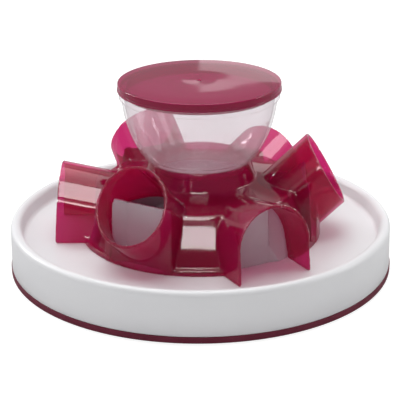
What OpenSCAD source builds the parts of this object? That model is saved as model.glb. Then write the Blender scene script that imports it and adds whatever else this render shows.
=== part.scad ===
// Tunnel feeder for a cat: a rimmed plate on a rubber ring, a white centre core, a see-through tower
// with three arched and three round tunnels, and a clear bowl with a lid on top.
// Millimetres. +Z is up, the origin is the centre of the plate's underside, and -Y is the front.

/* [Plate] */
// Diameter over the rubber ring, the widest part
plate_d = 300; // [285:1:330]
// Height of the rim's crest
plate_h = 38.4; // [36:0.1:44]
// Height of the dished floor
floor_z = 26; // [20:0.5:28]
// Width of the rim, from the top of the outer wall to the floor's edge
rim_w = 12.5; // [12:0.1:18]
// Radius of the rolled crest
rim_round = 4.3; // [3.5:0.1:4.6]
// Radius where the rim runs into the floor
floor_round = 3.2; // [1.5:0.1:3.4]
// How much narrower the outer wall is at its top
wall_draft = 0.4; // [0:0.1:1.5]
// Thickness of the moulding
plate_wall = 2.2; // [1.8:0.1:2.4]

/* [Rubber ring] */
// Height of the ring
ring_h = 5; // [4:0.1:8]
// Rubber under the plate's edge
ring_base = 2; // [1.5:0.1:3]
// Thickness of the ring's lips
ring_lip = 1.2; // [0.8:0.1:1.5]
// How far the ring stands proud of the plate's wall
ring_proud = 0.6; // [0:0.1:0.8]

/* [Centre core] */
// Gap between the core and the tower round it
core_gap = 0.8; // [0.5:0.1:3]
// Thickness of the core's walls
core_wall = 2; // [1.5:0.1:2.5]
// How far a niche's back wall stands in from the skirt's foot
niche_depth = 7.5; // [5:0.5:10]
// Width of the back wall behind an arch
arch_niche_w = 26; // [18:0.5:30]
// Width of the back wall behind a tube
tube_niche_w = 30; // [18:0.5:36]
// Height of the core above the floor, and of the back walls behind the arches
niche_h = 43.5; // [41:0.5:45]
// Height of the back walls behind the tubes
tube_niche_h = 48; // [44:1:75]
// Outward angle of a niche's side walls
niche_flare = 17; // [10:1:35]
// Inward lean of a niche's back wall
niche_lean = 4; // [2:0.5:7]

/* [Tower hub] */
// Thickness of the tower's walls
tower_wall = 2.4; // [1.8:0.1:2.8]
// Diameter over the bead at the hub's foot
hub_d = 189; // [184:1:200]
// Height of the bead
bead_h = 4.6; // [3:0.1:8]
// How far the bead stands out from the skirt's foot
bead_out = 3; // [2:0.1:4]
// Inward lean of the skirt
skirt_lean = 18.9; // [16:0.1:21]
// Height above the floor of the corner between skirt and deck
deck_h = 41.2; // [40:0.1:46]
// Slope of the deck, up towards the collar
deck_rise = 7; // [4:0.5:9]
// Radius of the shoulder between skirt and deck
shoulder_round = 3; // [3:0.5:6]
// Diameter of the collar where it leaves the deck
collar_d_low = 89; // [86:0.5:92]
// Diameter of the collar at its top
collar_d_top = 79; // [74:0.5:82]
// Height of the collar
collar_h = 14.6; // [10:0.1:20]

/* [Arched tunnels] */
// Width over an arch
arch_w = 61; // [52:0.5:64]
// Height of an arch at its mouth
arch_h = 55.8; // [50:0.1:60]
// How far an arch's feet stand out from the bead
arch_out = 17.7; // [10:0.1:24]
// Upward slope of an arch's ridge
arch_rise = 12; // [8:0.5:16]
// Inward lean of an arch's mouth
arch_lean = 4.5; // [0:0.5:10]

/* [Round tunnels] */
// Diameter over a tube
tube_d = 59; // [50:0.5:62]
// Upward slope of a tube
tube_tilt = 44; // [38:0.5:48]
// Upward slope that a tube's mouth faces
mouth_tilt = 30; // [22:0.5:40]
// How far the middle of a mouth stands out from the bead
tube_out = 3.8; // [0:0.1:10]
// Height of the middle of a mouth above the floor
mouth_h = 51.4; // [46:0.2:56]

/* [Bowl] */
// Diameter of the bowl's body at its mouth
bowl_d = 120; // [110:0.5:130]
// Height of the bowl's body above the collar
bowl_h = 55.4; // [45:0.2:70]
// Thickness of the bowl
bowl_wall = 2; // [1.5:0.1:2.5]
// Height of the band round the bowl's rim
band_h = 5.4; // [4:0.1:8]
// How far the band stands out from the body
band_out = 1.8; // [1:0.1:3]
// Depth of the neck that drops into the collar
neck_h = 7; // [4:0.5:10]
// Fullness of the bowl's side: 1 is a straight side, more is rounder
bowl_full = 1.9; // [1.4:0.1:2.6]
// How sharply the bowl's side turns out above the collar: 1 is a cone
bowl_turn = 1.3; // [1:0.05:1.6]

/* [Lid] */
// How far the lid stands out past the bowl's band
lid_out = 0.8; // [0:0.1:2]
// Height of the lid
lid_h = 6.8; // [5:0.1:9]
// Thickness of the lid
lid_wall = 2; // [1.5:0.1:2.5]
// Radius of the lid's top edge
lid_round = 1.2; // [1:0.1:2]
// Depth of the plug ring below the lid's edge
plug_h = 3.4; // [2:0.1:6]
// Height of the lip round the lid's lower edge
lip_h = 1.3; // [0.8:0.1:2]
// How far the lip stands out from the lid's wall
lip_out = 0.4; // [0.2:0.1:0.8]
// Width of the sloping border round the lid's flat top
border_w = 17; // [6:0.5:30]
// Fall of the border, from the flat top out to the edge
border_h = 0.5; // [0.2:0.1:0.8]
// Diameter of the dimple in the lid's middle
dimple_d = 4.4; // [2:0.2:8]
// Depth of the dimple
dimple_h = 0.5; // [0.2:0.1:0.8]

/* [Fits] */
// Gap round a piece that lifts out
lift_gap = 0.3; // [0.2:0.05:0.5]
// Gap where a piece rests against a curved face or a rim
root_gap = 0.15; // [0.1:0.05:0.3]

/* [Hidden] */
$fn = 96;
// Steps of an arc in a turned profile
arc_steps = 6;
// A length past every cut
far = 300;

// Plate
ring_r = plate_d / 2;
wall_r_low = ring_r - ring_proud;
wall_r_top = wall_r_low - wall_draft;
edge_r = ring_r - ring_lip - root_gap;
wall_r_in = wall_r_low - plate_wall;
floor_r = wall_r_top - rim_w;
crest = [wall_r_top - rim_round, plate_h - rim_round];
dish = [floor_r, floor_z + floor_round];
// Angle of the line that touches both the crest's arc and the floor's arc
rim_span = norm(crest - dish);
rim_slope = atan2(crest.y - dish.y, crest.x - dish.x) + asin((rim_round + floor_round) / rim_span);

// Hub
hub_r = hub_d / 2;
skirt_r = hub_r - bead_out;
deck_z = floor_z + deck_h;
corner_r = skirt_r - deck_h * tan(skirt_lean);
collar_r = collar_d_low / 2;
collar_z = deck_z + (corner_r - collar_r) * tan(deck_rise);
collar_top_z = collar_z + collar_h;
collar_top_r = collar_d_top / 2;
collar_lean = atan2(collar_r - collar_top_r, collar_h);
// The skirt's and the collar's thickness measured level, and the deck's measured upright
skirt_t = tower_wall / cos(skirt_lean);
collar_t = tower_wall / cos(collar_lean);
deck_t = tower_wall / cos(deck_rise);
// Where the collar's inside meets the deck's underside
throat_r_top = collar_top_r - collar_t;
throat_z = (deck_z - deck_t + tan(deck_rise) * (corner_r - throat_r_top - tan(collar_lean) * collar_top_z))
    / (1 - tan(deck_rise) * tan(collar_lean));
throat_r_low = throat_r_top + (collar_top_z - throat_z) * tan(collar_lean);
// Where the shoulder's arc has its middle, and the angles it runs between
shoulder_turn = 90 - deck_rise - skirt_lean;
shoulder_cut = shoulder_round * tan(shoulder_turn / 2);
shoulder = [corner_r + shoulder_cut * sin(skirt_lean) - shoulder_round * cos(skirt_lean),
            deck_z - shoulder_cut * cos(skirt_lean) - shoulder_round * sin(skirt_lean)];

// Core: the radius of its foot, and the height above the floor of its top under the deck's outer corner
core_r = skirt_r - skirt_t - core_gap;
core_top_h = deck_h - deck_t - core_gap;

// Tunnels
arch_r = arch_w / 2;
arch_foot = hub_r + arch_out;
arch_mouth_x = arch_foot - arch_h * tan(arch_lean);
arch_axis_z = floor_z + arch_h - arch_r / cos(arch_rise);
tube_r = tube_d / 2;
mouth_x = hub_r + tube_out;
mouth_z = floor_z + mouth_h;
// Azimuths, with the front at -90
arch_az = [-60, 180, 60];
tube_az = [-120, 0, 120];
// How far in from its mouth a tunnel's passage is cut
passage_in = 60;

// Bowl and lid
neck_r = throat_r_top - lift_gap;
bowl_z = collar_top_z;
bowl_top_z = bowl_z + bowl_h;
bowl_r = bowl_d / 2;
// Points along the bowl's side, and how much they crowd towards the collar
bowl_steps = 14;
bowl_crowd = 1.5;
band_r = bowl_r + band_out;
lid_r = band_r + lid_out;
lid_top_z = bowl_top_z + lid_h;
plug_r = bowl_in(bowl_h - plug_h).x - lift_gap;

white = [0.93, 0.93, 0.94];
plum = [0.36, 0.13, 0.21];
burgundy = [0.45, 0.06, 0.16, 0.85];
clear = [0.9, 0.88, 0.94, 0.35];

// Points of an arc round c, from angle a0 to a1
function arc(c, r, a0, a1) =
    [for (i = [0 : arc_steps]) let (a = a0 + (a1 - a0) * i / arc_steps) c + r * [cos(a), sin(a)]];

// Radius of the bowl's outside at a height above the collar: a rounded side that ends upright
function bowl_out(h) =
    collar_top_r + (bowl_r - collar_top_r) * pow(1 - pow(1 - h / bowl_h, bowl_full), 1 / bowl_turn);

// A point of the bowl's inside: the outside moved in by the wall, square to the curve
function bowl_in(h, step = 0.05) =
    let (a = bowl_out(max(h - step, 0)), b = bowl_out(min(h + step, bowl_h)),
         t = [b - a, min(h + step, bowl_h) - max(h - step, 0)], n = [t.y, -t.x] / norm(t))
    [bowl_out(h), bowl_z + h] - bowl_wall * n;

// The bowl's curve is taken at closer heights near the collar, where it turns most
function bowl_level(i) = bowl_h * pow(i / bowl_steps, bowl_crowd);

// Outside of the hub, from the foot up to the collar's top, grown by a gap
function hub_outline(gap = 0) = concat(
    [[hub_r + gap, floor_z], [hub_r + gap, floor_z + bead_h + gap],
     [skirt_r - bead_h * tan(skirt_lean) + gap, floor_z + bead_h + gap]],
    arc(shoulder, shoulder_round + gap, skirt_lean, 90 - deck_rise),
    [[collar_r + gap, collar_z + gap], [collar_top_r + gap, collar_top_z]]);

// Turns a tunnel to its azimuth
module at(az) rotate([0, 0, az]) children();

// A round roof of radius r with upright sides below it, running along a slope through [x, z]
module roofed_prism(r, x, z, slope)
    translate([x, 0, z]) rotate([0, -slope, 0]) {
        rotate([0, 90, 0]) cylinder(r = r, h = 2 * far, center = true);
        translate([-far, -r, -far]) cube([2 * far, 2 * r, far]);
    }

// All that lies behind a plane through [x, z] whose face looks up by a slope, and above the floor
module behind(x, z, slope, reach)
    intersection() {
        translate([x, 0, z]) rotate([0, -slope, 0])
            translate([-far, -far, -far]) cube([far, 2 * far, 2 * far]);
        translate([x - reach, -far, floor_z]) cube([2 * far, 2 * far, 2 * far]);
    }

// The solid that the hub fills, for trimming what seats on it
module hub_envelope(gap)
    rotate_extrude() polygon(concat([[0, floor_z]], hub_outline(gap), [[0, collar_top_z]]));

// An arch's form, inset by a wall for its passage
module arch_form(inset)
    roofed_prism(arch_r - inset, arch_mouth_x, arch_axis_z, arch_rise);

// A tube's form: a sloping round tube, and the walled foot under it inside the hub's circle
module tube_form(inset) {
    translate([mouth_x, 0, mouth_z]) rotate([0, 90 - tube_tilt, 0])
        cylinder(r = tube_r - inset, h = 2 * far, center = true);
    intersection() {
        roofed_prism(tube_r - inset, mouth_x, mouth_z, tube_tilt);
        translate([0, 0, floor_z - far]) cylinder(r = hub_r - inset, h = 2 * far);
    }
}

// The open way through a tunnel into the hub, made smaller by a gap
module arch_passage(gap = 0) intersection() {
    arch_form(tower_wall + gap);
    translate([arch_mouth_x - passage_in, -far, floor_z - far]) cube([far, 2 * far, 2 * far]);
}

module tube_passage(gap = 0) intersection() {
    tube_form(tower_wall + gap);
    translate([mouth_x - passage_in, -far, floor_z - far]) cube([far, 2 * far, 2 * far]);
}

module arch_tunnel(az) color(burgundy) at(az) difference() {
    intersection() {
        arch_form(0);
        behind(arch_foot, floor_z, arch_lean, passage_in);
    }
    arch_form(tower_wall);
    hub_envelope(root_gap);
}

module tube_tunnel(az) color(burgundy) at(az) difference() {
    intersection() {
        tube_form(0);
        behind(mouth_x, mouth_z, mouth_tilt, passage_in);
    }
    tube_form(tower_wall);
    hub_envelope(root_gap);
}

module arch_tunnel_front() arch_tunnel(arch_az[0]);
module arch_tunnel_left() arch_tunnel(arch_az[1]);
module arch_tunnel_back() arch_tunnel(arch_az[2]);
module tube_tunnel_front() tube_tunnel(tube_az[0]);
module tube_tunnel_right() tube_tunnel(tube_az[1]);
module tube_tunnel_back() tube_tunnel(tube_az[2]);

module tower_hub() color(burgundy) difference() {
    rotate_extrude() polygon(concat(
        hub_outline(),
        [[throat_r_top, collar_top_z], [throat_r_low, throat_z]],
        arc(shoulder, shoulder_round - tower_wall, 90 - deck_rise, skirt_lean),
        [[skirt_r - skirt_t, floor_z]]));
    for (az = arch_az) at(az) arch_passage();
    for (az = tube_az) at(az) tube_passage();
}

// The room under the deck, out to the hub's own radius
module under_deck(inset)
    rotate_extrude() polygon([
        [0, floor_z], [hub_r, floor_z],
        [hub_r, floor_z + core_top_h - inset - (hub_r - corner_r) * tan(deck_rise)],
        [0, floor_z + core_top_h - inset + corner_r * tan(deck_rise)]]);

// The room inside the tower: under the deck, and up into every tunnel
module tower_room(inset) {
    under_deck(inset);
    for (az = arch_az) at(az) arch_passage(core_gap + inset);
    for (az = tube_az) at(az) tube_passage(core_gap + inset);
}

// What a niche's back wall and flared sides face, in the tunnel's own direction
module niche_front(back, half)
    translate([back, 0, floor_z]) rotate([0, -niche_lean, 0]) translate([0, 0, -far]) linear_extrude(2 * far)
        polygon([[0, -half], [0, half], [far * sin(niche_flare), half + far * cos(niche_flare)],
                 [far * sin(niche_flare), -half - far * cos(niche_flare)]]);

// The upright block behind a niche's back wall
module niche_block(back, half, height) intersection() {
    translate([back, 0, floor_z]) rotate([0, -niche_lean, 0])
        translate([-far, -half, -far]) cube([far, 2 * half, 2 * far]);
    translate([0, -far, floor_z]) cube([far, 2 * far, height]);
}

// The core's form, inset by a wall for its hollow: a cone under the skirt, with a niche facing each tunnel
module core_form(inset) {
    foot = core_r - inset / cos(skirt_lean);
    back = skirt_r - niche_depth - inset;
    arch_half = arch_niche_w / 2 - inset;
    tube_half = tube_niche_w / 2 - inset;
    height = niche_h - inset;
    difference() {
        union() {
            intersection() {
                union() {
                    translate([0, 0, floor_z])
                        cylinder(r1 = foot, r2 = foot - height * tan(skirt_lean), h = height);
                    for (az = arch_az) at(az) niche_block(back, arch_half, height);
                }
                tower_room(inset);
            }
            for (az = tube_az) at(az) intersection() {
                niche_block(back + niche_depth, far, tube_niche_h - inset);
                tube_passage(core_gap + inset);
            }
        }
        for (az = arch_az) at(az) niche_front(back, arch_half);
        for (az = tube_az) at(az) niche_front(back, tube_half);
    }
}

module centre_core() color(white) difference() {
    core_form(0);
    core_form(core_wall);
}

module non_slip_ring() color(plum) rotate_extrude() polygon([
    [ring_r, 0], [ring_r, ring_h], [edge_r + root_gap, ring_h], [edge_r + root_gap, ring_base],
    [wall_r_in - root_gap, ring_base], [wall_r_in - root_gap, ring_h],
    [wall_r_in - root_gap - ring_lip, ring_h], [wall_r_in - root_gap - ring_lip, 0]]);

module base_plate() color(white) rotate_extrude() polygon(concat(
    [[edge_r, ring_base], [edge_r, ring_h], [wall_r_low, ring_h]],
    arc(crest, rim_round, 0, rim_slope + 90),
    arc(dish, floor_round, rim_slope - 90, -90),
    [[0, floor_z], [0, floor_z - plate_wall]],
    arc(dish, floor_round + plate_wall, -90, rim_slope - 90),
    arc(crest, rim_round - plate_wall, rim_slope + 90, 0),
    [[wall_r_in, ring_h], [wall_r_in, ring_base]]));

module bowl() color(clear) rotate_extrude() polygon(concat(
    [[0, bowl_z - neck_h], [neck_r - bowl_wall, bowl_z - neck_h], [neck_r, bowl_z - neck_h + bowl_wall],
     [neck_r, bowl_z]],
    [for (i = [0 : bowl_steps]) let (h = bowl_level(i)) if (h < bowl_h - band_h) [bowl_out(h), bowl_z + h]],
    [[bowl_out(bowl_h - band_h), bowl_top_z - band_h], [band_r, bowl_top_z - band_h], [band_r, bowl_top_z]],
    [for (i = [bowl_steps : -1 : 1]) let (p = bowl_in(bowl_level(i))) [p.x, min(p.y, bowl_top_z)]],
    [[neck_r - bowl_wall, bowl_z + bowl_wall], [neck_r - bowl_wall, bowl_z - neck_h + 2 * bowl_wall],
     [neck_r - 2 * bowl_wall, bowl_z - neck_h + bowl_wall],
     [0, bowl_z - neck_h + bowl_wall]]));

module bowl_lid() color(burgundy) {
    edge_z = lid_top_z - border_h;
    under = edge_z - lid_wall;
    foot_z = bowl_top_z + root_gap;
    rotate_extrude() polygon(concat(
        [[0, under], [plug_r - lid_wall, under], [plug_r - lid_wall, bowl_top_z - plug_h],
         [plug_r, bowl_top_z - plug_h], [plug_r, under], [lid_r - lid_wall, under], [lid_r - lid_wall, foot_z],
         [lid_r + lip_out, foot_z], [lid_r + lip_out, foot_z + lip_h], [lid_r, foot_z + lip_h + lip_out]],
        arc([lid_r - lid_round, edge_z - lid_round], lid_round, 0, 90),
        [[lid_r - lid_round - border_w, lid_top_z], [dimple_d / 2, lid_top_z], [0, lid_top_z - dimple_h]]));
}

non_slip_ring();
base_plate();
centre_core();
tower_hub();
arch_tunnel_front();
arch_tunnel_left();
arch_tunnel_back();
tube_tunnel_front();
tube_tunnel_right();
tube_tunnel_back();
bowl();
bowl_lid();
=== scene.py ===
"""A tunnel feeder for a cat: white plate on a rubber ring, see-through burgundy tower, clear bowl and lid.

Sizes are in millimetres until a mesh is made. The frame gives the outer sizes of the pieces, and the
values below give the rest.
"""
import math

import bpy
import numpy as np
from mathutils import Matrix, Vector


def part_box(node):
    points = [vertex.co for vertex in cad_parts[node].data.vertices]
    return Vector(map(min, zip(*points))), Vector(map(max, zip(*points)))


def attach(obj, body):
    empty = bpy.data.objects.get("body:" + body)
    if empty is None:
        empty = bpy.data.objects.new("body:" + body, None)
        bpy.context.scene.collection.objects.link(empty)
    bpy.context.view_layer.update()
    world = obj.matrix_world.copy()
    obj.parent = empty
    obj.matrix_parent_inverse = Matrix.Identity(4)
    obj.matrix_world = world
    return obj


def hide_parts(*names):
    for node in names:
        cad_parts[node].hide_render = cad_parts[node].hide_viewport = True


MM = 0.001

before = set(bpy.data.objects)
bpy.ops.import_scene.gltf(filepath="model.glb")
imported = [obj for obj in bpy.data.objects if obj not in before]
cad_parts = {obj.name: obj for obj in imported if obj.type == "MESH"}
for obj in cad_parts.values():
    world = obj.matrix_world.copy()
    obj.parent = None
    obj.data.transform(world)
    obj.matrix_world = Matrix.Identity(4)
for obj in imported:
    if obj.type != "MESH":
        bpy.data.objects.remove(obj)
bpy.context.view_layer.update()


def span(node):
    """Lowest and highest corner of a node, in millimetres."""
    lo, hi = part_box(node)
    return np.array(lo) / MM, np.array(hi) / MM


# Sizes that the frame gives
RING_R, RING_H = span("non_slip_ring")[1][[0, 2]]
PLATE_H = span("base_plate")[1][2]
PLATE_LOW = span("base_plate")[0][2]
FLOOR_Z, CORE_TOP = span("centre_core")[0][2], span("centre_core")[1][2]
HUB_R, COLLAR_TOP = span("tower_hub")[1][[1, 2]]
ARCH_FOOT, ARCH_TOP = -span("arch_tunnel_left")[0][0], span("arch_tunnel_left")[1][2]
ARCH_R = span("arch_tunnel_left")[1][1]
TUBE_R = span("tube_tunnel_right")[1][1]
NECK_LOW, BOWL_TOP = span("bowl")[0][2], span("bowl")[1][2]
BAND_R = span("bowl")[1][0]
LID_R, LID_TOP = span("bowl_lid")[1][[0, 2]]
PLUG_LOW = span("bowl_lid")[0][2]

# Plate and ring
PLATE_WALL = 2.2
RIM_W, RIM_ROUND, FLOOR_ROUND = 12.5, 4.3, 3.2
WALL_DRAFT, RING_PROUD, RING_LIP, RING_GAP = 0.4, 0.6, 1.2, 0.15

# Tower: the wall at its root, and the thinner wall that shows at the mouths
WALL, MOUTH_WALL = 2.4, 2.3
BEAD_H, BEAD_OUT, BEAD_LEAN, BEAD_ROUND = 4.6, 3.0, math.radians(8.0), 0.25
SKIRT_LEAN, DECK_RISE = math.radians(18.9), math.radians(7.0)
DECK_H, SHOULDER_ROUND, SKIRT_SWELL = 41.2, 3.0, 0.5
COLLAR_R_LOW, COLLAR_R_TOP, COLLAR_H = 43.4, 39.5, 14.6
ARCH_RISE, ARCH_LEAN = math.radians(12.0), math.radians(4.5)
TUBE_TILT, MOUTH_TILT = math.radians(44.0), math.radians(30.0)
TUBE_OUT, MOUTH_H = 3.8, 51.4
PASSAGE_IN = 60.0
ARCH_AZ = np.radians([-60.0, 180.0, 60.0])
TUBE_AZ = np.radians([-120.0, 0.0, 120.0])
ROOT_FILLET, COLLAR_FILLET, EDGE_ROUND = 1.1, 0.9, 0.7
TOWER_GRID, TOWER_MARGIN, TOWER_BELOW = 1.32, 4.0, 2.1

# Core
CORE_GAP, CORE_ROUND, CORE_SUNK = 0.8, 1.0, 0.8
CORE_GRID, CORE_ABOVE, CORE_BELOW = 1.6, 2.0, 3.3
NICHE_DEPTH, NICHE_H = 7.5, 43.5
ARCH_NICHE_W, TUBE_NICHE_W = 26.0, 30.0
NICHE_FLARE, NICHE_LEAN = math.radians(17.0), math.radians(4.0)

# Bowl and lid
BOWL_WALL, BAND_H, BAND_OUT = 2.0, 5.4, 1.8
BOWL_FULL, BOWL_TURN = 1.9, 1.3
LIFT_GAP, SEAT_GAP = 0.3, 0.15
LID_WALL, LID_ROUND = 2.0, 0.8
LIP_H, LIP_OUT = 1.3, 0.4
BORDER_W, BORDER_H = 17.0, 0.5
DIMPLE_D, DIMPLE_H = 4.4, 1.0

# Steps round a turned piece: the plate and its ring, and the bowl and its lid
PLATE_STEPS, BOWL_STEPS = 288, 224

# How far the camera stands round to the right of the object's front
VIEW_AROUND = math.radians(1.0)

# Values that follow from those above
SKIRT_R = HUB_R - BEAD_OUT
DECK_Z = FLOOR_Z + DECK_H
CORNER_R = SKIRT_R - DECK_H * math.tan(SKIRT_LEAN)
COLLAR_LEAN = math.atan2(COLLAR_R_LOW - COLLAR_R_TOP, COLLAR_H)
ARCH_H = ARCH_TOP - FLOOR_Z
ARCH_MOUTH_X = ARCH_FOOT - ARCH_H * math.tan(ARCH_LEAN)
ARCH_AXIS_Z = ARCH_TOP - ARCH_R / math.cos(ARCH_RISE)
MOUTH_X, MOUTH_Z = HUB_R + TUBE_OUT, FLOOR_Z + MOUTH_H
NICHE_TOP_X = SKIRT_R - NICHE_DEPTH - (CORE_TOP - FLOOR_Z) * math.tan(NICHE_LEAN)


def piece(name, points, faces, body, slot, *nodes, normals=None):
    """A shaded mesh from points in millimetres and faces, which rides on a body and stands for CAD nodes."""
    mesh = bpy.data.meshes.new(name)
    mesh.from_pydata(np.asarray(points, float) * MM, [], [tuple(f) for f in faces])
    mesh.polygons.foreach_set("use_smooth", np.ones(len(mesh.polygons), bool))
    if normals is not None:
        mesh.normals_split_custom_set_from_vertices(normals)
    made = bpy.data.objects.new(name, mesh)
    bpy.context.scene.collection.objects.link(made)
    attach(made, body)
    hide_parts(*nodes)
    return made


def arc(centre, radius, start, end, steps=7):
    """Points of an arc round centre, from one angle in degrees to another."""
    a = np.radians(np.linspace(start, end, steps))
    return np.column_stack([centre[0] + radius * np.cos(a), centre[1] + radius * np.sin(a)])


def eased(corners, steps=4):
    """An outline of corners (x, y, radius), each turned on an arc of its radius."""
    corners = np.asarray(corners, float)
    out = []
    for before, here, after in zip(np.roll(corners, 1, 0), corners, np.roll(corners, -1, 0)):
        a, b = before[:2] - here[:2], after[:2] - here[:2]
        a, b = a / np.linalg.norm(a), b / np.linalg.norm(b)
        half = math.acos(np.clip(a @ b, -1, 1)) / 2
        if here[2] <= 0 or half > math.radians(89):
            out.append(here[None, :2])
            continue
        reach = here[2] / math.tan(half)
        middle = here[:2] + (a + b) / np.linalg.norm(a + b) * here[2] / math.sin(half)
        u, v = here[:2] + a * reach - middle, here[:2] + b * reach - middle
        turn = math.atan2(u[0] * v[1] - u[1] * v[0], u @ v) * np.linspace(0, 1, steps + 1)[:, None]
        out.append(middle + u * np.cos(turn) + np.array([-u[1], u[0]]) * np.sin(turn))
    return np.concatenate(out)


def lathe(profile, steps=192):
    """Points and faces of a closed (radius, height) profile turned round Z, with one point on Z itself."""
    profile = np.asarray(profile, float)
    keep = np.linalg.norm(profile - np.roll(profile, 1, 0), axis=1) > 1e-6
    profile = profile[keep]
    turn = np.linspace(0, 2 * np.pi, steps, endpoint=False)
    on_axis = profile[:, 0] < 1e-6
    counts = np.where(on_axis, 1, steps)
    first = np.concatenate([[0], np.cumsum(counts)[:-1]])
    ids = first[:, None] + np.where(on_axis[:, None], 0, np.arange(steps)[None])
    rings = np.stack([profile[:, :1] * np.cos(turn), profile[:, :1] * np.sin(turn),
                      np.repeat(profile[:, 1:], steps, 1)], -1)
    points = np.concatenate([rings[i, :n] for i, n in enumerate(counts)])
    nxt, side = np.roll(ids, -1, 0), np.roll(np.arange(steps), -1)
    quads = np.stack([ids, ids[:, side], nxt[:, side], nxt], -1).reshape(-1, 4)
    area = np.sum(profile[:, 0] * np.roll(profile[:, 1], -1) - np.roll(profile[:, 0], -1) * profile[:, 1])
    quads = quads if area > 0 else quads[:, ::-1]
    faces = [tuple(dict.fromkeys(q)) for q in quads.tolist()]
    return points, [f for f in faces if len(f) > 2]


def meet(a, b, r):
    """Where both fields are inside, with their edge rounded by r."""
    return np.minimum(-r, np.maximum(a, b)) + np.hypot(np.maximum(a + r, 0), np.maximum(b + r, 0))


def melt(a, b, r):
    """Where either field is inside, with a fillet of r where they meet."""
    return np.maximum(r, np.minimum(a, b)) - np.hypot(np.maximum(r - a, 0), np.maximum(r - b, 0))


def plane(x, z, at_x, at_z, slope):
    """Signed distance past a line through (at_x, at_z) whose normal looks outwards and up by a slope."""
    return (x - at_x) * math.cos(slope) + (z - at_z) * math.sin(slope)


def hub_body(r, z, inset):
    """The hub under its deck: the leaning skirt, a little swollen, and the deck, with a round shoulder."""
    across = np.clip((z - FLOOR_Z) / DECK_H * 2 - 1, -1, 1)
    skirt = plane(r, z, SKIRT_R, FLOOR_Z, SKIRT_LEAN) - SKIRT_SWELL * (1 - across ** 2) + inset
    deck = plane(r, z, CORNER_R, DECK_Z, math.pi / 2 - DECK_RISE) + inset
    return meet(skirt, deck, max(SHOULDER_ROUND - inset, EDGE_ROUND))


def turned(p, azimuth):
    """Distance out along a tunnel, and sideways from its middle."""
    return (p[0] * math.cos(azimuth) + p[1] * math.sin(azimuth),
            p[1] * math.cos(azimuth) - p[0] * math.sin(azimuth))


def arch_form(p, azimuth, inset):
    """An arch's outline: a round roof along a rising axis, on upright sides."""
    out, side = turned(p, azimuth)
    up = (p[2] - ARCH_AXIS_Z) * math.cos(ARCH_RISE) - (out - ARCH_MOUTH_X) * math.sin(ARCH_RISE)
    form = np.hypot(side, np.maximum(up, 0)) - ARCH_R + inset
    return np.maximum(form, ARCH_MOUTH_X - PASSAGE_IN - out)


def tube_form(p, azimuth, inset):
    """A tube's outline: a sloping round tube, and under it an upright foot inside the hub's circle."""
    out, side = turned(p, azimuth)
    up = (p[2] - MOUTH_Z) * math.cos(TUBE_TILT) - (out - MOUTH_X) * math.sin(TUBE_TILT)
    tube = np.hypot(side, up) - TUBE_R + inset
    foot = np.hypot(side, np.maximum(up, 0)) - TUBE_R + inset
    foot = meet(foot, np.hypot(p[0], p[1]) - HUB_R + inset, EDGE_ROUND)
    return np.maximum(melt(tube, foot, EDGE_ROUND), MOUTH_X - PASSAGE_IN - out)


def tower_room(p, gap=0.0):
    """The room under the deck and out through every tunnel."""
    room = hub_body(np.hypot(p[0], p[1]), p[2], WALL + gap)
    for azimuth in ARCH_AZ:
        room = melt(room, arch_form(p, azimuth, WALL + gap), EDGE_ROUND)
    for azimuth in TUBE_AZ:
        room = melt(room, tube_form(p, azimuth, WALL + gap), EDGE_ROUND)
    return room


def tower_field(p):
    """The tower: hub, bead, collar and tunnels run together, less the room inside, cut at the floor."""
    r, z = np.hypot(p[0], p[1]), p[2]
    solid = hub_body(r, z, 0)
    bead = meet(plane(r, z, HUB_R, FLOOR_Z, BEAD_LEAN), z - FLOOR_Z - BEAD_H, BEAD_ROUND)
    solid = melt(solid, bead, BEAD_ROUND)
    collar = np.maximum(plane(r, z, COLLAR_R_TOP, COLLAR_TOP, COLLAR_LEAN), z - COLLAR_TOP)
    solid = melt(solid, collar, COLLAR_FILLET)
    for azimuth in ARCH_AZ:
        out, _ = turned(p, azimuth)
        mouth = plane(out, z, ARCH_FOOT, FLOOR_Z, ARCH_LEAN)
        solid = melt(solid, meet(arch_form(p, azimuth, 0), mouth, EDGE_ROUND), ROOT_FILLET)
    for azimuth in TUBE_AZ:
        out, _ = turned(p, azimuth)
        mouth = plane(out, z, MOUTH_X, MOUTH_Z, MOUTH_TILT)
        solid = melt(solid, meet(tube_form(p, azimuth, 0), mouth, EDGE_ROUND), ROOT_FILLET)
    throat = plane(r, z, COLLAR_R_TOP, COLLAR_TOP, COLLAR_LEAN) + WALL
    room = melt(tower_room(p, MOUTH_WALL - WALL), throat, EDGE_ROUND)
    return np.maximum(meet(solid, -room, EDGE_ROUND), FLOOR_Z - z)


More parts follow.
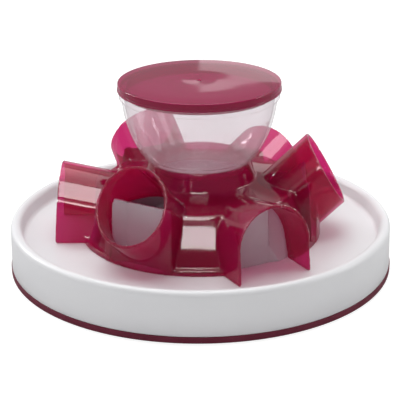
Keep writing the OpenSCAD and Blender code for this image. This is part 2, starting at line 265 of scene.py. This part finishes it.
def core_field(p):
    """The core: a cone under the skirt with an upright block behind each arch, kept inside the tower's room,
    and a plug in each tube, whose top falls inwards. In front of each tunnel it ends at a flat back wall with
    flared sides."""
    r, z = np.hypot(p[0], p[1]), p[2]
    form = plane(r, z, SKIRT_R, FLOOR_Z, SKIRT_LEAN) + WALL + CORE_GAP
    front = np.full_like(r, -np.inf)
    plugs = np.full_like(r, np.inf)
    for azimuth in np.concatenate([ARCH_AZ, TUBE_AZ]):
        out, side = turned(p, azimuth)
        width = ARCH_NICHE_W if azimuth in ARCH_AZ else TUBE_NICHE_W
        wall = plane(out, z, SKIRT_R - NICHE_DEPTH, FLOOR_Z, NICHE_LEAN)
        flare = np.maximum(np.abs(side) - width / 2, 0) * math.tan(NICHE_FLARE)
        front = np.maximum(front, wall - flare)
        if azimuth in ARCH_AZ:
            form = np.minimum(form, np.maximum(meet(wall, np.abs(side) - width / 2, CORE_ROUND), -out))
        else:
            fall = plane(out, z, NICHE_TOP_X, CORE_TOP, math.pi / 2 + TUBE_TILT)
            plug = meet(wall - NICHE_DEPTH, tube_form(p, azimuth, WALL + CORE_GAP), CORE_ROUND)
            plugs = np.minimum(plugs, meet(plug, fall, CORE_ROUND))
            form = np.maximum(form, np.minimum(-tube_form(p, azimuth, 0), fall))
    form = meet(form, z - FLOOR_Z - NICHE_H, CORE_ROUND)
    form = np.minimum(meet(form, tower_room(p, CORE_GAP), CORE_ROUND), meet(plugs, z - CORE_TOP, CORE_ROUND))
    return np.maximum(meet(form, front, CORE_ROUND / 2), FLOOR_Z - CORE_SUNK - z)


def slope_of(field, points, step=0.05):
    """Outward unit normals and values of a field at points, by differences along each axis."""
    normal = np.stack([field((points + step * e).T) - field((points - step * e).T) for e in np.eye(3)], -1)
    length = np.maximum(np.linalg.norm(normal, axis=1, keepdims=True), 1e-9)
    return normal / length, field(points.T) / (length[:, 0] / (2 * step))


def skin(field, lo, hi, step, rounds=6):
    """The surface where a field is zero: one point in each grid cell that the surface crosses, one face
    across each grid edge that it crosses. The points are then evened out along the surface and set on it."""
    axes = [np.arange(a, b + step, step) for a, b in zip(lo, hi)]
    grid = np.stack(np.meshgrid(*axes, indexing="ij"))
    value = field(grid.reshape(3, -1)).reshape(grid.shape[1:])
    inside = value < 0
    cells = tuple(n - 1 for n in value.shape)
    total, count = np.zeros((3, *cells)), np.zeros(cells)
    for axis in range(3):
        others = [i for i in range(3) if i != axis]
        low = [slice(None)] * 3
        low[axis] = slice(0, -1)
        high = [slice(None)] * 3
        high[axis] = slice(1, None)
        a, b = value[tuple(low)], value[tuple(high)]
        cross = (a < 0) != (b < 0)
        share = np.where(cross, a / np.where(cross, a - b, 1), 0)
        spot = np.stack([grid[i][tuple(low)] for i in range(3)])
        spot[axis] += share * step
        for m in (0, 1):
            for n in (0, 1):
                part = [slice(None)] * 3
                part[others[0]] = slice(m, value.shape[others[0]] - 1 + m)
                part[others[1]] = slice(n, value.shape[others[1]] - 1 + n)
                hit = cross[tuple(part)]
                total += np.where(hit, spot[(slice(None), *part)], 0)
                count += hit
    active = count > 0
    ids = np.full(cells, -1)
    ids[active] = np.arange(active.sum())
    points = (total[:, active] / count[active]).T
    quads = []
    for axis in range(3):
        u, v = (axis + 1) % 3, (axis + 2) % 3
        low = [slice(1, -1)] * 3
        low[axis] = slice(0, -1)
        high = [slice(1, -1)] * 3
        high[axis] = slice(1, None)
        leaves = inside[tuple(low)] & ~inside[tuple(high)]
        enters = ~inside[tuple(low)] & inside[tuple(high)]
        for mask, order in ((leaves, 1), (enters, -1)):
            at = np.argwhere(mask)
            at[:, [u, v]] += 1
            corners = []
            for du, dv in ((-1, -1), (0, -1), (0, 0), (-1, 0))[::order]:
                cell = at.copy()
                cell[:, u] += du
                cell[:, v] += dv
                corners.append(ids[tuple(cell.T)])
            quads.append(np.column_stack(corners))
    quads = np.concatenate(quads)
    sides = np.concatenate([quads[:, [i, (i + 1) % 4]] for i in range(4)])
    valence = np.bincount(sides[:, 0], minlength=len(points))[:, None]
    for _ in range(rounds):
        normal, off = slope_of(field, points)
        points = points - normal * np.clip(off, -step, step)[:, None]
        sums = [np.bincount(sides[:, 0], points[sides[:, 1], i], len(points)) for i in range(3)]
        mean = np.column_stack(sums)
        drift = mean / valence - points
        points = points + 0.6 * (drift - normal * np.sum(drift * normal, 1, keepdims=True))
    for _ in range(3):
        normal, off = slope_of(field, points)
        points = points - normal * np.clip(off, -step, step)[:, None]
    return points, quads, slope_of(field, points)[0]


def plate():
    """The plate: rolled rim, dished floor and hollow underside, turned round."""
    outer_low = RING_R - RING_PROUD
    outer_top = outer_low - WALL_DRAFT
    inner = outer_low - PLATE_WALL
    seat = RING_R - RING_LIP - RING_GAP
    floor_r = outer_top - RIM_W
    crest = np.array([outer_top - RIM_ROUND, PLATE_H - RIM_ROUND])
    dish = np.array([floor_r, FLOOR_Z + FLOOR_ROUND])
    across = crest - dish
    slope = math.degrees(math.atan2(across[1], across[0])
                         + math.asin((RIM_ROUND + FLOOR_ROUND) / np.linalg.norm(across)))
    profile = np.concatenate([
        [[seat, PLATE_LOW], [seat, RING_H], [outer_low - 0.3, RING_H + 0.02], [outer_low, RING_H + 0.4]],
        arc(crest, RIM_ROUND, 0, slope + 90, 19), arc(dish, FLOOR_ROUND, slope - 90, -90, 13),
        [[0, FLOOR_Z], [0, FLOOR_Z - PLATE_WALL]],
        arc(dish, FLOOR_ROUND + PLATE_WALL, -90, slope - 90, 9),
        arc(crest, RIM_ROUND - PLATE_WALL, slope + 90, 0, 9),
        [[inner, RING_H], [inner, PLATE_LOW]]])
    return piece("plate_moulding", *lathe(profile, PLATE_STEPS), "base", "white_plate", "base_plate")


def rubber_ring():
    """The ring's section: a soft channel that holds the plate's lower edge, turned round."""
    low_out, inner = RING_R - RING_LIP, RING_R - RING_PROUD - PLATE_WALL - RING_GAP
    profile = eased([
        (RING_R, 0, 0.9), (RING_R, RING_H, 0.5), (low_out, RING_H, 0.3), (low_out, PLATE_LOW, 0.1),
        (inner, PLATE_LOW, 0.1), (inner, RING_H, 0.3), (inner - RING_LIP, RING_H, 0.4),
        (inner - RING_LIP, 0, 0.6)])
    return piece("grip_ring", *lathe(profile, PLATE_STEPS), "base", "rubber_ring", "non_slip_ring")


def tower():
    """The see-through moulding, skinned from its field."""
    reach = ARCH_FOOT + TOWER_MARGIN
    top = MOUTH_Z + TUBE_R
    low = (-reach, -reach, FLOOR_Z - TOWER_BELOW)
    points, quads, normals = skin(tower_field, low, (reach, reach, top), TOWER_GRID)
    return piece("tower_moulding", points, quads.tolist(), "tower", "tower_plastic", "tower_hub",
                 *(f"{kind}_tunnel_{side}" for kind, sides in (("arch", ("front", "left", "back")),
                                                               ("tube", ("front", "right", "back")))
                   for side in sides), normals=normals)


def core():
    """The white core, skinned from its field."""
    low = (-SKIRT_R, -SKIRT_R, FLOOR_Z - CORE_BELOW)
    high = (SKIRT_R, SKIRT_R, CORE_TOP + CORE_ABOVE)
    points, quads, normals = skin(core_field, low, high, CORE_GRID)
    return piece("core_moulding", points, quads.tolist(), "base", "white_plate", "centre_core",
                 normals=normals)


def bowl_radius(h):
    """The bowl's outer radius at heights h above the collar: a curve that turns out fast and ends upright."""
    height, mouth = BOWL_TOP - COLLAR_TOP, BAND_R - BAND_OUT
    return COLLAR_R_TOP + (mouth - COLLAR_R_TOP) * (1 - (1 - h / height) ** BOWL_FULL) ** (1 / BOWL_TURN)


def bowl_curve(h, inset, nudge=0.05):
    """Points of the bowl's side at heights h above the collar, moved in by a wall square to the curve."""
    low, high = np.maximum(h - nudge, 0), np.minimum(h + nudge, BOWL_TOP - COLLAR_TOP)
    along = np.column_stack([bowl_radius(high) - bowl_radius(low), high - low])
    normal = np.column_stack([along[:, 1], -along[:, 0]]) / np.linalg.norm(along, axis=1, keepdims=True)
    return np.column_stack([bowl_radius(h), COLLAR_TOP + h]) - inset * normal


def bowl():
    """The clear bowl: neck, flat seat, rounded side and rim band, turned round."""
    height = BOWL_TOP - COLLAR_TOP
    neck = COLLAR_R_TOP - WALL / math.cos(COLLAR_LEAN) - LIFT_GAP
    floor = NECK_LOW + BOWL_WALL
    levels = height * np.linspace(0, 1, 40) ** 1.5
    outside = bowl_curve(levels[levels < height - BAND_H - 0.4], 0)
    inside = bowl_curve(levels[(levels > 1.0) & (levels < height - 0.6)], BOWL_WALL)[::-1]
    foot = eased([
        (0, NECK_LOW, 0), (neck, NECK_LOW, 1.5), (neck, COLLAR_TOP, 0.3), (COLLAR_R_TOP, COLLAR_TOP, 0)])
    band_low = BOWL_TOP - BAND_H
    body = bowl_curve(np.array([height - BAND_H]), 0)[0][0]
    rim_in = bowl_curve(np.array([height]), BOWL_WALL)[0][0]
    band = eased([
        (body, band_low - 3, 0), (body, band_low, 0.6), (BAND_R, band_low, 0.5), (BAND_R, BOWL_TOP, 0.4),
        (rim_in, BOWL_TOP, 0.5), (rim_in, BOWL_TOP - 6, 0)])[1:-1]
    well = eased([(neck + 1, COLLAR_TOP + BOWL_WALL, 0), (neck - BOWL_WALL, COLLAR_TOP + BOWL_WALL, 1.0),
                  (neck - BOWL_WALL, floor, 1.8), (0, floor, 0), (0, NECK_LOW, 0)])[1:-1]
    profile = np.concatenate([foot[:-1], outside, band, inside, well])
    return piece("clear_bowl", *lathe(profile, BOWL_STEPS), "bowl", "clear_bowl", "bowl")


def lid():
    """The lid: flat top with a sloping border and a dimple, outer wall on a lip, and a plug ring below."""
    edge, foot = LID_TOP - BORDER_H, BOWL_TOP + SEAT_GAP
    under = edge - LID_WALL
    side = LID_R - LIP_OUT
    plug = bowl_curve(np.array([PLUG_LOW - COLLAR_TOP]), BOWL_WALL)[0][0] - LIFT_GAP
    profile = eased([
        (0, under, 0), (plug - LID_WALL, under, 0.6), (plug - LID_WALL, PLUG_LOW, 0.6),
        (plug, PLUG_LOW, 0.6), (plug, under, 0.4), (side - LID_WALL, under, 0.4),
        (side - LID_WALL, foot, 0.5), (LID_R, foot, 0.3),
        (LID_R, foot + LIP_H, 0.15), (side, foot + LIP_H + LIP_OUT / 2, 0.15), (side, edge, LID_ROUND),
        (side - LID_ROUND - BORDER_W, LID_TOP, 30.0), (DIMPLE_D / 2, LID_TOP, 0.4),
        (DIMPLE_D / 2 - 0.8, LID_TOP - DIMPLE_H, 0.4), (0, LID_TOP - DIMPLE_H, 0)], 6)
    return piece("lid_moulding", *lathe(profile, BOWL_STEPS), "lid", "lid_plastic", "bowl_lid")


class Sock:
    """A shader socket that adds Math nodes when it is used in an expression."""

    def __init__(self, nodes, out):
        self.nodes, self.out = nodes, out

    def math(self, operation, a, b=0.0):
        return self.nodes.add("ShaderNodeMath", {"operation": operation}, {0: a, 1: b})

    def __add__(self, other):
        return self.math("ADD", self, other)

    def __sub__(self, other):
        return self.math("SUBTRACT", self, other)

    def __rsub__(self, other):
        return self.math("SUBTRACT", other, self)

    def __mul__(self, other):
        return self.math("MULTIPLY", self, other)

    def __pow__(self, other):
        return self.math("POWER", self, other)

    __radd__, __rmul__ = __add__, __mul__


class Nodes:
    """The node tree of a material or of the world."""

    def __init__(self, owner):
        owner.use_nodes = True
        self.tree = owner.node_tree
        self.tree.nodes.clear()

    def add(self, kind, settings=None, sockets=None, out=0):
        """A node of a type, with its settings made first, then the values or links of its sockets."""
        node = self.tree.nodes.new(kind)
        for key, value in (settings or {}).items():
            if key == "stops":
                for stop, (position, colour) in zip(node.color_ramp.elements, value):
                    stop.position, stop.color = position, colour
            else:
                setattr(node, key, value)
        for key, value in (sockets or {}).items():
            if isinstance(value, Sock):
                self.tree.links.new(value.out, node.inputs[key])
            else:
                node.inputs[key].default_value = value
        return Sock(self, node.outputs[out])

    def mix(self, share, a, b):
        """A mix of two shaders."""
        return self.add("ShaderNodeMixShader", {}, {0: share, 1: a, 2: b})

    def noise(self, scale, detail=2.0, stretch=(1, 1, 1)):
        """Noise on Object coordinates, in cycles per metre, from 0 to 1."""
        place = self.add("ShaderNodeTexCoord", out="Object")
        place = self.add("ShaderNodeMapping", {}, {"Vector": place, "Scale": stretch})
        return self.add("ShaderNodeTexNoise", {}, {"Vector": place, "Scale": scale, "Detail": detail})

    def bump(self, height, strength, distance):
        """A bumped normal."""
        return self.add("ShaderNodeBump", {}, {"Height": height, "Strength": strength, "Distance": distance})

    def step(self, value, start, end):
        """A smooth step from 0 to 1 as a value goes from start to end."""
        return self.add("ShaderNodeMapRange", {"interpolation_type": "SMOOTHSTEP"},
                        {"Value": value, "From Min": start, "From Max": end})

    def finish(self, shader, kind="ShaderNodeOutputMaterial"):
        """The output node, fed by a shader."""
        node = self.tree.nodes.new(kind)
        self.tree.links.new(shader.out, node.inputs["Surface"])


def material(name):
    """A new material and its nodes."""
    made = bpy.data.materials.new(name)
    return made, Nodes(made)


def see_through(name, tint, body, cloud, glow, ior, waves):
    """Tinted clear plastic: what is behind shows through each face in the tint, a share of the plastic's own
    colour clouds it, lit from its front and, by glow, from behind, and a polished face reflects by angle."""
    made, n = material(name)
    ripple = n.bump(n.noise(38, 1.5), waves, 0.001)
    gloss_rough = 0.03 + 0.03 * n.noise(150, 3)
    through = n.add("ShaderNodeBsdfTransparent", {}, {"Color": (*tint, 1)})
    own = n.add("ShaderNodeBsdfDiffuse", {}, {"Color": (*body, 1), "Normal": ripple})
    back = n.add("ShaderNodeBsdfTranslucent", {}, {"Color": (*body, 1), "Normal": ripple})
    plastic = n.mix(cloud, through, n.mix(glow, own, back))
    gloss = n.add("ShaderNodeBsdfGlossy", {}, {"Roughness": gloss_rough, "Normal": ripple})
    front = 1 - n.add("ShaderNodeNewGeometry", out="Backfacing")
    shine = n.add("ShaderNodeFresnel", {}, {"IOR": ior, "Normal": ripple}) * front
    n.finish(n.mix(shine, plastic, gloss))
    return made


def white_plastic(name, low, high):
    """Satin white moulding: a faint cloud between two shades, and a fine grain in gloss and relief."""
    made, n = material(name)
    stops = ((0.3, (*low, 1)), (0.7, (*high, 1)))
    cloud = n.add("ShaderNodeValToRGB", {"stops": stops}, {"Fac": n.noise(9, 3)})
    shader = n.add("ShaderNodeBsdfPrincipled", {}, {
        "Base Color": cloud, "Roughness": 0.3 + 0.12 * n.noise(220, 3), "IOR": 1.5,
        "Normal": n.bump(n.noise(1400, 2), 0.05, 0.0004)})
    n.finish(shader)
    return made


def rubber():
    """Plum rubber: dull, with a fine grain and a little dust in the colour."""
    made, n = material("plum_rubber")
    stops = ((0.35, (0.135, 0.015, 0.034, 1)), (0.75, (0.165, 0.023, 0.047, 1)))
    colour = n.add("ShaderNodeValToRGB", {"stops": stops}, {"Fac": n.noise(60, 4)})
    shader = n.add("ShaderNodeBsdfPrincipled", {}, {
        "Base Color": colour, "Roughness": 0.55 + 0.2 * n.noise(400, 3), "Specular IOR Level": 0.22,
        "Normal": n.bump(n.noise(1800, 3), 0.2, 0.0005)})
    n.finish(shader)
    return made


def area_light(name, azimuth, elevation, distance, size, radiance, shines=True, mirrored=True, only=None):
    """A softbox that faces the object. Azimuth 0 is the camera's side, positive to the right, in degrees.
    Size and distance are in metres, and radiance is how bright it looks, with 1 as white. It may light the
    object, be mirrored, or both, and it may fall on one collection only."""
    a, e = math.radians(azimuth) + VIEW_AROUND, math.radians(elevation)
    place = distance * Vector((math.sin(a) * math.cos(e), -math.cos(a) * math.cos(e), math.sin(e)))
    data = bpy.data.lights.new(name, "AREA")
    data.shape, data.size, data.size_y = "RECTANGLE", size[0], size[1]
    data.energy = radiance * math.pi * size[0] * size[1]
    lamp = bpy.data.objects.new(name, data)
    bpy.context.scene.collection.objects.link(lamp)
    target = Vector((0, 0, 0.06))
    lamp.location = target + place
    lamp.rotation_mode = "QUATERNION"
    lamp.rotation_quaternion = (-place).to_track_quat("-Z", "Y")
    lamp.visible_diffuse = lamp.visible_transmission = shines
    lamp.visible_glossy = mirrored
    lamp.light_linking.receiver_collection = only


def studio(tower_piece):
    """A pale floor, a white surround, lights, and cards that the glossy plastic or only the tower mirrors."""
    scene = bpy.context.scene
    scene.view_settings.view_transform = "Standard"
    scene.cycles.transparent_max_bounces = 32
    mesh = bpy.data.meshes.new("floor")
    half = 6.0
    corners = [(-half, -half, 0), (half, -half, 0), (half, half, 0), (-half, half, 0)]
    mesh.from_pydata(corners, [], [(0, 1, 2, 3)])
    floor = bpy.data.objects.new("floor", mesh)
    floor.location.z = -0.0004
    scene.collection.objects.link(floor)
    paper, n = material("pale_floor")
    camera_ray, glossy_ray, clear_ray = (n.add("ShaderNodeLightPath", out=ray) for ray in
                                         ("Is Camera Ray", "Is Glossy Ray", "Is Transmission Ray"))
    lit = n.add("ShaderNodeBsdfDiffuse", {}, {"Color": 0.9 - 0.6 * glossy_ray})
    glow = n.add("ShaderNodeEmission", {}, {"Color": (1, 1, 1, 1), "Strength": 1.35})
    n.finish(n.mix(0.6 * (camera_ray + clear_ray) + 0.2 * glossy_ray, lit, glow))
    mesh.materials.append(paper)
    world = bpy.data.worlds.new("surround")
    scene.world = world
    n = Nodes(world)
    ray = n.add("ShaderNodeLightPath", out="Is Camera Ray")
    white = n.add("ShaderNodeBackground", {}, {"Color": (1, 1, 1, 1), "Strength": 1.0})
    way = n.add("ShaderNodeTexCoord", out="Generated")
    parts = n.add("ShaderNodeSeparateXYZ", {}, {0: way})
    x, y, z = (Sock(n, parts.out.node.outputs[i]) for i in range(3))
    across = math.cos(VIEW_AROUND) * x + math.sin(VIEW_AROUND) * y
    behind = n.step(y, 0.0, 0.35)
    left = n.step(-1 * across, 0.3, 0.34) * behind
    panel = n.step(across, -0.002, 0.002) * (1 - n.step(z, 0.2765, 0.2795)) * behind
    high = n.step(z, 0.46, 0.5) * behind
    level = 0.2 + 0.25 * behind + 0.7 * panel + 0.6 * high + 0.3 * left
    room = n.add("ShaderNodeBackground", {}, {"Color": (1, 1, 1, 1), "Strength": level})
    n.finish(n.mix(ray, room, white), "ShaderNodeOutputWorld")
    mirror = bpy.data.collections.new("mirrors_cards")
    mirror.objects.link(tower_piece)
    area_light("softbox_key", -150, 80, 1.7, (1.6, 1.6), 2.8)
    area_light("softbox_left", -122, 25, 1.7, (0.3, 0.8), 7.5, mirrored=False)
    area_light("softbox_right", 95, 25, 1.7, (0.3, 0.8), 5.0, mirrored=False)
    area_light("card_left", -122, 28, 1.7, (0.22, 0.7), 16.0, shines=False)
    area_light("card_right", 95, 28, 1.7, (0.22, 0.7), 12.0, shines=False)
    area_light("card_above", -5, 52, 1.7, (0.8, 1.5), 14.0, shines=False, only=mirror)
    area_light("fill_front", -20, 20, 2.0, (1.4, 1.0), 1.3, mirrored=False)
    area_light("card_front", -2, 15.6, 1.55, (0.98, 0.145), 17.0, shines=False, only=mirror)
    area_light("card_front_high", -6, 21.4, 1.55, (1.1, 0.14), 1.5, shines=False, only=mirror)
    area_light("card_front_left", -37, 15, 1.55, (0.45, 0.3), 0.9, shines=False, only=mirror)
    area_light("card_left_high", -58, 44, 1.6, (1.5, 1.25), 0.45, shines=False, only=mirror)
    area_light("card_right_back", 122, 42, 1.7, (0.55, 0.5), 6.0, shines=False, only=mirror)


def camera():
    """The photograph's view: 21 degrees down from the front, a long lens, rolled a little to the left."""
    data = bpy.data.cameras.new("view")
    data.lens, data.sensor_width = 120.4, 36.0
    data.shift_x, data.shift_y = -0.0005, 0.00125
    made = bpy.data.objects.new("view", data)
    bpy.context.scene.collection.objects.link(made)
    down, roll = 0.3654, math.radians(-0.4)
    turn = Matrix.Rotation(math.pi / 2 - down, 4, "X") @ Matrix.Rotation(roll, 4, "Z")
    made.matrix_world = Matrix.Rotation(VIEW_AROUND, 4, "Z") @ Matrix.Translation((0, -0.985, 0.4267)) @ turn
    bpy.context.scene.camera = made


burgundy = see_through("burgundy_plastic", tint=(0.755, 0.175, 0.43), body=(0.63, 0.018, 0.125),
                       cloud=0.26, glow=0.45, ior=1.45, waves=0.04)
lid_burgundy = see_through("lid_burgundy_plastic", tint=(0.72, 0.14, 0.4), body=(0.4, 0.009, 0.085),
                           cloud=0.55, glow=0.3, ior=1.5, waves=0.03)
clear = see_through("clear_plastic", tint=(0.99, 0.985, 0.993), body=(0.98, 0.96, 0.985),
                    cloud=0.2, glow=0.5, ior=1.5, waves=0.03)
white = white_plastic("white_plastic", (0.72, 0.72, 0.74), (0.76, 0.76, 0.775))
# The core is the plate's white plastic made darker and a little purple: painted shade for the dim room under
# the tower, where light only comes in tinted by the burgundy walls.
core_shaded_white = white_plastic("core_shaded_white_plastic", (0.5, 0.475, 0.505), (0.54, 0.515, 0.54))
see_through_tower = tower()
for made, finish in ((plate(), white), (core(), core_shaded_white), (rubber_ring(), rubber()),
                     (see_through_tower, burgundy), (bowl(), clear), (lid(), lid_burgundy)):
    made.data.materials.append(finish)
camera()
studio(see_through_tower)
